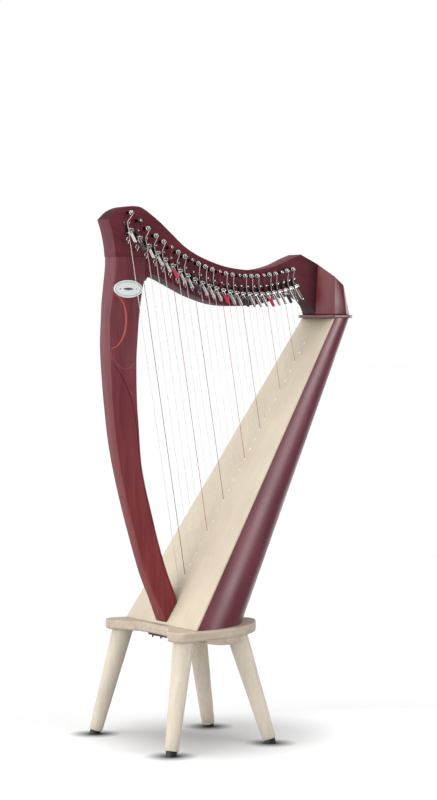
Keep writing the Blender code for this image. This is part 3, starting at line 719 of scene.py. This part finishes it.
def make_pillar():
    front = smooth_curve(PILLAR_FRONT, 8)
    inner = smooth_curve(PILLAR_INNER, 8)
    front_foot = board_meeting(front)
    inner_foot = board_meeting(inner)
    top = JOINT_Z - GAP / 2
    halves = []
    for i in range(int((top - inner_foot[1] - 8) / PILLAR_STEP) + 1):
        height = top - i * PILLAR_STEP
        x_inner = PILLAR_INNER[0][0] if height > PILLAR_INNER[0][1] else x_at(inner, height)
        halves.append(pillar_half(x_at(front, height), x_inner, height, height))
    halves.append(pillar_half(front_foot[0], inner_foot[0], front_foot[1], inner_foot[1]))
    rings = [[Vector((x, -y, z)) for x, y, z in half] + [Vector(p) for p in reversed(half)]
             for half in halves]
    piece("pillar_wood", lofted(rings), [pillar_wine], ["pillar"], sharp=28)

    # The carved arc and two fainter lines follow the carving as raised strips; their lighter colour is
    # painted highlight.
    bm = bmesh.new()
    for side in (-1, 1):
        path = []
        for along, up in arc(-SCOOP_TURN, SCOOP_TURN, 40):
            height = SCOOP_HEIGHT + SCOOP_HALF * up
            x = x_at(front, height) + SCOOP_DEPTH * along + 1.1
            path.append(Vector((x, side * (NECK_HALF - 0.1), height)))
        ribbon(bm, path, ARC_NARROW, ARC_WIDE, 0.5)
        for points in ([(-55.5, 783), (-42, 764), (-22.6, 757.5), (-2.6, 771)],
                       [(-19.7, 717.6), (-12, 709), (-3.2, 704.5)]):
            line = [Vector((x, side * (NECK_HALF - 0.35), z)) for x, z in smooth_curve(points, 8)]
            wire(bm, line, 0.6, 6)
    piece("pillar_carving_highlights", bm, [arc_highlight])


def make_badge():
    """Plain oval badge with a raised rim, a fine border line and a lozenge between two dots."""
    bm = bmesh.new()
    rim = ((1.0, -0.4), (0.0, 0.1), (0.0, 1.5), (0.5, 2.1), (1.3, 2.3), (2.1, 2.1), (2.5, 1.8))
    loft(bm, [oval(inset, rise) for inset, rise in rim])
    loft(bm, [oval(3.2, 1.6), oval(3.2, 1.9), oval(4.0, 1.9), oval(4.0, 1.6)], 1, closed=True)
    for reach, length, height in ((0.0, 12.0, 2.6), (-18.5, 1.5, 1.5), (18.5, 1.5, 1.5)):
        x = BADGE_CENTRE[0] + reach
        loft(bm, [[Vector((x + cos(a) * length, -NECK_HALF - 1.7 - rise,
                           BADGE_CENTRE[1] + sin(a) * abs(sin(a)) * height))
                   for a in around(24)] for rise in (0.0, 0.35)], 1)
    piece("oval_badge", bm, [badge_enamel, badge_line])


def oval(inset, rise):
    """The badge's outline drawn in, at a height above the neck's side."""
    wide, high = BADGE_HALF[0] - inset, BADGE_HALF[1] - inset
    return [Vector((BADGE_CENTRE[0] + cos(a) * wide, -NECK_HALF - rise,
                    BADGE_CENTRE[1] + sin(a) * high)) for a in around(64)]


# ---- soundbox ----
def shell_measures(height):
    """x of the board's front face, and half width and depth of the shell, at a height."""
    share = (height - BOARD_FOOT[1]) / (BOARD_LENGTH * sin(BOARD_SLOPE))
    return (BOARD_FOOT[0] + (height - BOARD_FOOT[1]) / tan(BOARD_SLOPE),
            mix(BOARD_HALF_LOW, BOARD_HALF_TOP, share), mix(SHELL_DEPTH_LOW, SHELL_DEPTH_TOP, share))


BEHIND_BOARD = RIB_DEPTH / sin(BOARD_SLOPE)


def shell_ring(height, inset, front_extra):
    front, half, depth = shell_measures(height)
    half -= inset
    reach = depth - inset - BEHIND_BOARD
    ring = level([(front + BEHIND_BOARD + along * reach, side * half)
                  for along, side in arc(-90, 90, 56)], height)
    if front_extra:
        front -= front_extra
        ring = level([(front, -half)], height) + ring + level([(front, half)], height)
    return ring


def shell_rings(low, high, inset, front_extra):
    return [shell_ring(mix(low, high, i / 40), inset, front_extra) for i in range(41)]


def make_shell():
    low = SEAT_TOP + GAP
    shell = piece("soundbox_wood", lofted(shell_rings(low, COLLAR_LOW, 0.0, 0.0)),
                  [shell_wine, raw_wood], ["soundbox_shell"])
    rings = shell_rings(low + SHELL_END, COLLAR_LOW - SHELL_END, SHELL_WALL, 10.0)
    boolean(shell, form("cavity_form", lofted(rings, 1), shell_wine, raw_wood))
    bm = bmesh.new()
    rims = bmesh.new()
    for height, half_width, half_length in SOUND_HOLES:
        outline = [(y, height + z) for y, z in stadium(half_width, half_length, 16)]
        front = shell_measures(height)[0]
        loft(bm, [[Vector((front + reach, y, z)) for y, z in outline] for reach in (45.0, 230.0)])
        path = []
        for y, z in outline:
            board_x, half, depth = shell_measures(z)
            away = sqrt(1 - (y / half) ** 2)
            path.append(Vector((board_x + BEHIND_BOARD + away * (depth - BEHIND_BOARD) - 0.6, y, z)))
        wire(rims, path, 1.9, 10, closed=True)
    boolean(shell, form("hole_form", bm, shell_wine, raw_wood))
    piece("sound_hole_rims", rims, [shell_wine])

    lips = [(-COLLAR_LIP, 5.5), (-4.5, 7.0), (4.5, 5.5), (COLLAR_LIP, 2.0)]
    side = [(x + along, y + out) for (x, y), (along, out) in zip(BLOCK_LOW, lips)]
    outline = [(x, -y) for x, y in side] + side[::-1]
    collar = piece("collar_plate", lofted([level(outline, COLLAR_LOW), level(outline, COLLAR_HIGH)]),
                   [shell_wine])
    round_edges(collar, 1.8, 4, 20)


def make_soundboard():
    top = (COLLAR_LOW - GAP - BOARD_FOOT[1]) / sin(BOARD_SLOPE)
    drop = BOARD_THICK / tan(BOARD_SLOPE)
    rings = [board_corners(0.0, top, BOARD_HALF_LOW, BOARD_HALF_TOP, 0.0),
             board_corners(drop, top + drop, BOARD_HALF_LOW, BOARD_HALF_TOP, BOARD_THICK)]
    board = piece("soundboard_panel", lofted(rings), [board_maple], ["soundboard"])
    round_edges(board, 0.9, 3, 30)
    holes = bmesh.new()
    eyelets = bmesh.new()
    outward = Vector((-sin(BOARD_SLOPE), 0, cos(BOARD_SLOPE)))
    across, upward = square_axes(outward)
    eyelet = ((-1.5, 0.0), (-1.5, 0.65), (0.05, 0.65), (0.1, 2.0), (0.7, 1.7), (1.0, 0.9), (0.7, 0.0))
    for index in range(STRINGS):
        front = board_point(ANCHORS[index])
        bore = string_radius(index) + 0.5
        turned(holes, front - outward * 8, outward, [(0, bore + 0.7), (12, bore + 0.7)], 16)
        loft(eyelets, [circle(front + outward * rise, across, upward, bore + lip, 20)
                       for rise, lip in eyelet], closed=True)
    boolean(board, form("board_hole_form", holes, board_maple))
    piece("string_eyelets", eyelets, [eyelet_bone])


# ---- strings, tuning pins and levers ----
def make_strings():
    sixths = [i / 6 for i in range(7)]
    bm = bmesh.new()
    for index in range(STRINGS):
        start, bend, front = string_corners(index)
        radius = string_radius(index)
        inner = board_point(ANCHORS[index], 0.0, RIB_DEPTH + RIB_THICK + 2.0)
        arriving = (bend - start).normalized()
        leaving = (front - bend).normalized()
        cut = (BRIDGE_RADIUS + GAP + radius) * tan(arriving.angle(leaving) / 2)
        before, after = bend - arriving * cut, bend + leaving * cut
        path = [start] + [before * (1 - t) ** 2 + bend * 2 * t * (1 - t) + after * t ** 2
                          for t in sixths]
        path += [after.lerp(front, t) for t in sixths[1:]] + [inner]
        wire(bm, path, radius, 8, string_kind(index))
        knot = [inner + Vector((cos(a) * KNOT_HALF, sin(2 * a) * 0.9, sin(a) * KNOT_HALF))
                for a in around(20)]
        wire(bm, knot, radius, 6, string_kind(index), closed=True)
    piece("strings_nylon", bm, [clear_nylon, red_nylon, black_nylon], ["strings"])

    rings = [board_corners(ANCHORS[0] - 40, ANCHORS[-1] + 40, half, half, depth)
             for depth, half in ((RIB_DEPTH, RIB_HALF), (RIB_DEPTH + RIB_THICK, RIB_HALF - 2))]
    rib = piece("string_rib", lofted(rings), [raw_wood])
    round_edges(rib, 0.8, 2, 30)


def make_tuning_pin(index):
    """Blued pin with a bright domed tip, a square key end and the string's coil."""
    pin = PINS[index]
    radius = string_radius(index)
    bm = bmesh.new()
    base = Vector((pin.x, 0, pin.z))
    turned(bm, base, AWAY, [(PIN_TIP_Y, 1.0), (PIN_TIP_Y + 0.3, 2.0), (PIN_TIP_Y + 0.9, 2.7),
                            (PIN_TIP_Y + 1.8, PIN_RADIUS), (STRING_Y - 1.4, PIN_RADIUS)], 24)
    turned(bm, base, AWAY, [(STRING_Y - 1.4, PIN_RADIUS), (STRING_Y - 1.2, PIN_RADIUS - 0.12),
                            (KEY_START_Y - 1.0, PIN_RADIUS), (KEY_START_Y, PIN_RADIUS - 0.5)],
           24, 1)
    loft(bm, [circle(base + AWAY * y, Vector((1, 0, 0)), Vector((0, 0, 1)), reach, 4)
              for y, reach in ((KEY_START_Y - 0.3, 2.85), (PIN_KEY_Y - 1.2, 2.6),
                               (PIN_KEY_Y, 2.0))], 1)
    start, bend, _ = string_corners(index)
    offset = start - Vector((pin.x, STRING_Y, pin.z))
    first = atan2(offset.z, offset.x)
    run = start - bend
    sense = 1 if run.x * -sin(first) + run.z * cos(first) > 0 else -1
    path = []
    last = COIL_TURNS * 20
    for i in range(int(last) + 1):
        angle = first + sense * 2 * pi * i / 20
        coil = offset.length - GAP / 2 * max(0.0, i - last + 4)
        path.append(Vector((pin.x + cos(angle) * coil, STRING_Y + i / 20 * radius * 2.1,
                            pin.z + sin(angle) * coil)))
    wire(bm, path, radius, 8, 2)
    name = "tuning_pin_%02d" % (index + 1)
    colour = [clear_nylon, red_nylon, black_nylon][string_kind(index)]
    piece(name + "_steel", bm, [nickel, dark_steel, colour], [name], name)


def lever_axes(index):
    """Pivot, and unit vectors along the axle, outward and down the string."""
    joint = joints["lever_%02d_flip" % (index + 1)]
    _, bend, front = string_corners(index)
    down = (front - bend).normalized()
    axle = -Vector(joint["axis"])
    return design(joint["pos_m"]), axle, down.cross(axle).normalized(), down


def make_lever(index):
    """Cam on its hub and a rimmed handle; on C and F strings the handle has a coloured sleeve."""
    pivot, axle, outward, down = lever_axes(index)
    bm = bmesh.new()
    lobe = LEVER_REST - LEVER_LOBE_TURN
    cam = [(a, mix(LEVER_HUB, LEVER_LOBE, max(0.0, cos(a - lobe)) ** 2)) for a in around(28)]
    levels = ((-LEVER_HALF, 0.5), (0.4 - LEVER_HALF, 0.0), (LEVER_HALF - 0.4, 0.0), (LEVER_HALF, 0.5))
    loft(bm, [[pivot + axle * shift + (outward * cos(a) + down * sin(a)) * (radius - shrink)
               for a, radius in cam] for shift, shrink in levels])
    along = outward * cos(LEVER_REST) + down * sin(LEVER_REST)
    kind = string_kind(index)
    side = LEVER_LOOP_HALF
    end = LEVER_LENGTH - side - 0.9
    straight = (1.2, 7.0, SLEEVE_START, 16.0, 21.0)
    rim = [(reach, -side) for reach in straight] + arc(-90, 90, 10, side, (end, 0))
    rim += [(reach, side) for reach in reversed(straight)]
    wire(bm, [pivot + along * a + axle * b for a, b in rim], 0.9, 8)
    web_start = SLEEVE_START if kind else WEB_START
    web = [(web_start, -side), (end, -side), (end + side * 0.7, 0.0), (end, side), (web_start, side)]
    normal = axle.cross(along) * (0.6 if kind else 0.35)
    loft(bm, [[pivot + along * a + axle * b + rise for a, b in web] for rise in (-normal, normal)],
         1 if kind else 0)
    if kind:
        wire(bm, [pivot + along * a + axle * b for a, b in rim if a > SLEEVE_START - 0.1], 1.25, 10, 1)
    name = "lever_%02d" % (index + 1)
    sleeve = [nickel, red_sleeve, black_sleeve][kind]
    piece(name + "_handle", bm, [nickel, sleeve], [name], name)


def in_neck(place):
    """Point just inside the neck's side, straight behind a place."""
    return Vector((place.x, 1 - NECK_HALF, place.z))


def make_lever_bases():
    """What carries the levers on the neck: plates with screws, ears with axles, frets and hooks."""
    plates = bmesh.new()
    ears = bmesh.new()
    for index in range(STRINGS):
        pivot, axle, outward, down = lever_axes(index)
        bend = string_corners(index)[1]
        flat_down = flat(down)
        stand = pivot + axle * POST_OFFSET
        foot = stand - outward * (stand.y + NECK_HALF) / outward.y
        loft(plates, [[foot - AWAY * rise + axle * a + flat_down * b
                       for a, b in stadium(PLATE_HALF - spare, PLATE_SCREW, 8)]
                      for rise, spare in ((0.0, 0.0), (1.2, 0.0), (1.7, 0.6))])
        for shift in (-PLATE_SCREW, PLATE_SCREW):
            turned(plates, foot + flat_down * shift - AWAY * 1.5, -AWAY,
                   [(0, 1.9), (0.5, 1.8), (0.9, 1.2), (1.0, 0.5)], 14)
        loft(ears, [[foot.lerp(stand, share) + axle * a + down * b * half
                     for a, b in ((-1.0, -1), (1.0, -1), (1.0, 1), (-1.0, 1))]
                    for share, half in ((0.0, 4.2), (0.35, 2.9), (0.8, 2.2), (1.0, 1.8))])
        turned(ears, stand - axle * 1.1, axle, [(0, 2.6), (0.2, 2.9), (2.0, 2.9), (2.2, 2.6)], 20)
        turned(ears, stand + axle * 1.1, axle, [(0, 2.0), (0.8, 1.9), (1.2, 1.3), (1.3, 0.4)], 16)
        turned(ears, stand - axle * 2.1, axle, [(0, 1.2), (1.2, 1.2)], 12)
        fret = bend + down * FRET_DROP - outward * FRET_BACK
        turned(ears, in_neck(fret), -AWAY,
               [(0, 1.3), (-fret.y - NECK_HALF + 0.6, 1.3), (-fret.y - NECK_HALF + 1, 0.8)], 12)
        hook = bend + down * mix(*HOOK_DROP, index / (STRINGS - 1)) - axle * 4.2
        turned(ears, in_neck(hook), -AWAY, [(0, 1.5), (14.0, 1.1), (-hook.y - NECK_HALF + 2.2, 1.0)], 10)
        eye = hook - AWAY * 1.6 - flat_down * HOOK_RADIUS
        curl = [eye + axle * a + flat_down * b for a, b in arc(90, 378, 18, HOOK_RADIUS)]
        curl.append(curl[-1] + flat_down * 4.0 - axle * 3.4)
        curl.append(curl[-1] + flat_down * 3.0 - axle * 1.6)
        wire(ears, curl, 0.95, 8)
    piece("lever_plates", plates, [dark_steel], sharp=40)
    piece("lever_ears", ears, [nickel], sharp=40)


def make_bridge_pins():
    bm = bmesh.new()
    reach = -BRIDGE_TIP_Y - NECK_HALF
    for x, z in BRIDGES:
        turned(bm, Vector((x, -NECK_HALF + 2, z)), -AWAY,
               [(0, 1.5), (2.0, 1.5), (2.05, 2.6), (2.8, 2.4), (3.0, 1.5), (reach + 0.4, 1.5),
                (reach + 0.7, 2.1), (reach + 1.5, 2.1), (reach + 2.0, 1.2)], 18)
    piece("bridge_pins", bm, [nickel])


# ---- stool ----
def mirrored(half):
    """The other half of an outline that starts or ends on the plane of symmetry."""
    return [(x, -y) for x, y in reversed(half) if y]


def seat_outline():
    """Plate with a lobe over each front leg, a shallow waist between them and a round back."""
    lobe = arc(165, 268, 22, SEAT_LOBE[2], SEAT_LOBE)
    right = lobe[:-1] + smooth_curve([lobe[-1]] + SEAT_BACK, 7)
    return right + mirrored(right) + smooth_curve(mirrored(SEAT_WAIST) + SEAT_WAIST, 8)


def make_seat():
    """Plate with rounded edges, and its thicker middle that draws in towards the bottom."""
    quarter = arc(0, 90, 5)
    levels = [(SEAT_LOW + SEAT_ROUND_LOW * (1 - c), SEAT_ROUND_LOW * (1 - s)) for c, s in quarter]
    levels += [(SEAT_TOP - SEAT_ROUND_TOP * (1 - s), SEAT_ROUND_TOP * (1 - c)) for c, s in quarter]
    rings = [level(inset_outline(seat_outline(), inset), height) for height, inset in levels]
    seat = piece("seat_wood", lofted(rings), [seat_maple], ["stool_seat"])
    half = smooth_curve(BELLY, 5)
    belly = half + mirrored(half)
    bottom = SEAT_LOW - BELLY_DEEP
    top = SEAT_LOW + BELLY_DRAW
    rings = [level(inset_outline(belly, BELLY_DRAW * (1 - s)), bottom + BELLY_DRAW * (1 - c))
             for c, s in quarter]
    middle = form("belly_form", lofted(rings + [level(belly, top)]), seat_maple)
    start, end = BELLY_ENDS
    bow = [(mix(start, end, i / 24), SEAT_LOW - BELLY_DEEP * sin(pi * i / 24)) for i in range(25)]
    bm = bmesh.new()
    slab(bm, bow + [(end, top), (start, top)], -200, 200)
    boolean(middle, form("bow_form", bm, seat_maple), "INTERSECT")
    boolean(seat, middle, "UNION")


def make_legs():
    """Tapered legs, cut square to their own lean at the bottom, on round rubber feet."""
    top_z = SEAT_LOW - GAP
    for name, (foot, top) in LEGS.items():
        low, high = Vector((*foot, 0)), Vector((*top, top_z))
        axis = (high - low).normalized()
        lean = Vector((axis.x, axis.y, 0)).normalized()
        square = Vector((0, 0, 1)).cross(lean)
        cut = square.cross(axis)

        def ring(height, radius, tilt=0.0):
            across = (lean / axis.z).lerp(cut, tilt)
            return circle(low.lerp(high, height / top_z), across, square, radius, 40)

        start = FOOT_HEIGHT + LEG_EDGE
        rings = [ring(FOOT_HEIGHT, LEG_LOW_RADIUS - LEG_EDGE, 1),
                 ring(FOOT_HEIGHT + 0.4, LEG_LOW_RADIUS - 0.5, 1)]
        rings += [ring(mix(start, top_z, i / 8), mix(LEG_LOW_RADIUS, LEG_TOP_RADIUS, i / 8), 1 - i / 8)
                  for i in range(9)]
        piece(name + "_wood", lofted(rings), [leg_maple], [name])
        rings = [ring(0.0, FOOT_RADIUS - 1.2), ring(0.4, FOOT_RADIUS - 0.4), ring(1.4, FOOT_RADIUS),
                 ring(FOOT_HEIGHT - 1.2, FOOT_RADIUS + 0.2, 1),
                 ring(FOOT_HEIGHT - 0.1, FOOT_RADIUS - 0.3, 1)]
        piece(name + "_rubber", lofted(rings), [rubber])


def make_rail():
    """Steel bar under the seat's front edge with the bolts that hold the soundbox."""
    bm = bmesh.new()
    loft(bm, [level([(RAIL_X + a, b) for a, b in stadium(RAIL_WIDE - spare, RAIL_HALF, 8)],
                    SEAT_LOW - drop) for drop, spare in ((0.1, 0.0), (3.4, 0.0), (4.2, 0.8))])
    for y in (-RAIL_HALF, 0.0, RAIL_HALF):
        turned(bm, Vector((RAIL_X, y, SEAT_LOW - 4.1)), DOWNWARDS,
               [(0, 6.2), (1.2, 6.2), (1.5, 5.8)], 28, 1)
        turned(bm, Vector((RAIL_X, y, SEAT_LOW - 5.5)), DOWNWARDS,
               [(0, 4.6), (3.2, 4.6), (3.8, 4.0)], 6, 1)
    piece("seat_rail", bm, [dark_steel, nickel])


# ---- scene ----
WALL_LEVEL = 0.5
WALL_DARKEST = 0.03
# Sides of the studio that are brighter or darker than its walls: direction, degrees within which the
# change is full, degrees at which it is gone, and how much it adds.
STUDIO_SIDES = [((-1.0, 0.0, 0.12), 12, 55, 3.7), ((-0.509, 0.861, 0.05), 10, 40, 0.9),
                ((0.8, 0.6, 0.0), 6, 20, 1.5), ((0.5, -0.85, 0.1), 20, 80, -0.42),
                ((0.95, -0.1, -0.28), 30, 60, -0.40)]
# Tones of the floor round a centre: metres where they start and end, and the stops between.
STOOL_SHADOW = (0.0, 1.2, [(0.0, even(0.46)), (0.13, even(0.51)), (0.25, even(0.67)),
                           (0.6, even(0.67)), (1.0, even(0.635))])
FOOT_SHADOW = (0.010, 0.055, [(0.0, even(0.10)), (0.3, even(0.38)), (1.0, even(1.0))])
FLOOR_GLOW = (0.10, 0.42, [(0.0, even(1.36)), (1.0, even(1.0))])
GLOW_CENTRE = (0.27, -0.19, 0.0)      # the floor is lighter there, against the harp's own shade

CAMERA_LENS = 112.91
CAMERA_PLACE = (-2.6370, -4.4184, 0.8381)
CAMERA_TILT = 90 - 1.633              # degrees
CAMERA_TURN = -30.603


def lamp(name, kind, power, aim, lean=0.0, **settings):
    """Light that shines along a direction, turned about it by so many degrees."""
    data = bpy.data.lights.new(name, kind)
    data.energy = power
    for key, value in settings.items():
        setattr(data, key, value)
    made = bpy.data.objects.new(name, data)
    turn = Quaternion((0, 0, 1), radians(lean))
    made.rotation_euler = (Vector(aim).to_track_quat("-Z", "Y") @ turn).to_euler()
    scene.collection.objects.link(made)
    return made


def softbox(name, place, target, size, power, lean):
    """Rectangular light that gives highlights only."""
    made = lamp(name, "AREA", power, Vector(target) - Vector(place), lean, shape="RECTANGLE",
                size=size[0], size_y=size[1])
    made.location = place
    made.visible_camera = False
    made.visible_diffuse = False


def make_world():
    world = bpy.data.worlds.new("studio")
    world.use_nodes = True
    tree = world.node_tree
    background = tree.nodes["Background"]
    heading = node(tree, "TexCoord").outputs["Generated"]
    strength = WALL_LEVEL
    for side, full, gone, extra in STUDIO_SIDES:
        facing = measure(tree, "DOT_PRODUCT", heading, Vector(side).normalized(), "VectorMath")
        glow = spread(tree, facing, 0.0, extra, cos(radians(gone)), cos(radians(full)))
        strength = measure(tree, "ADD", strength, glow)
    strength = measure(tree, "MAXIMUM", strength, WALL_DARKEST)
    seen = node(tree, "LightPath").outputs["Is Camera Ray"]
    tree.links.new(measure(tree, "MAXIMUM", strength, seen), background.inputs["Strength"])
    background.inputs["Color"].default_value = (1.0, 1.0, 1.0, 1.0)
    scene.world = world


def floor_tone(tree, place, centre, near, far, stops):
    """Tone that depends on the distance from a centre in metres."""
    distance = measure(tree, "DISTANCE", place, centre, "VectorMath")
    return ramp(tree, spread(tree, distance, 0.0, 1.0, near, far), stops)


def make_floor():
    made, tree, shader, place = finish_base("studio_floor", Roughness=0.9, Specular_IOR_Level=0.0)
    clouds = ramp(tree, noise(tree, place, even(0.3), 2.0), [(0.3, even(0.97)), (0.7, even(1.0))])
    tone = mixed(tree, floor_tone(tree, place, even(0.0), *STOOL_SHADOW), clouds)
    for foot, _ in LEGS.values():
        tone = mixed(tree, tone, floor_tone(tree, place, at((*foot, 0.0)), *FOOT_SHADOW))
    tone = mixed(tree, tone, floor_tone(tree, place, GLOW_CENTRE, *FLOOR_GLOW))
    connect(tree, shader, tone)
    bm = bmesh.new()
    bmesh.ops.create_grid(bm, x_segments=1, y_segments=1, size=40.0)
    floor = form("floor", bm, made)
    floor.visible_glossy = False


def make_studio():
    make_world()
    make_floor()
    lamp("key", "SUN", 2.2, (0.04, 0.06, -1.0), angle=radians(60))
    fill = lamp("fill", "SUN", 1.9, (-0.3, 0.92, -0.25), angle=radians(50))
    fill.visible_glossy = False
    softbox("strip", (0.555, -0.457, 0.555), (0.07, -0.097, 0.57), (0.22, 0.85), 3.9, -20.0)
    softbox("block_light", (0.80, -0.33, 0.96), (0.24, -0.055, 0.92), (0.16, 0.22), 1.0, 0.0)

    camera = bpy.data.cameras.new("camera")
    camera.lens = CAMERA_LENS
    camera.sensor_width = 36.0
    made = bpy.data.objects.new("camera", camera)
    made.location = CAMERA_PLACE
    made.rotation_euler = (radians(CAMERA_TILT), 0, radians(CAMERA_TURN))
    scene.collection.objects.link(made)
    scene.camera = made
    scene.view_settings.view_transform = "Standard"


make_neck()
make_pillar()
make_badge()
make_shell()
make_soundboard()
make_strings()
make_bridge_pins()
make_lever_bases()
for string_number in range(STRINGS):
    make_tuning_pin(string_number)
    make_lever(string_number)
make_seat()
make_legs()
make_rail()
make_studio()
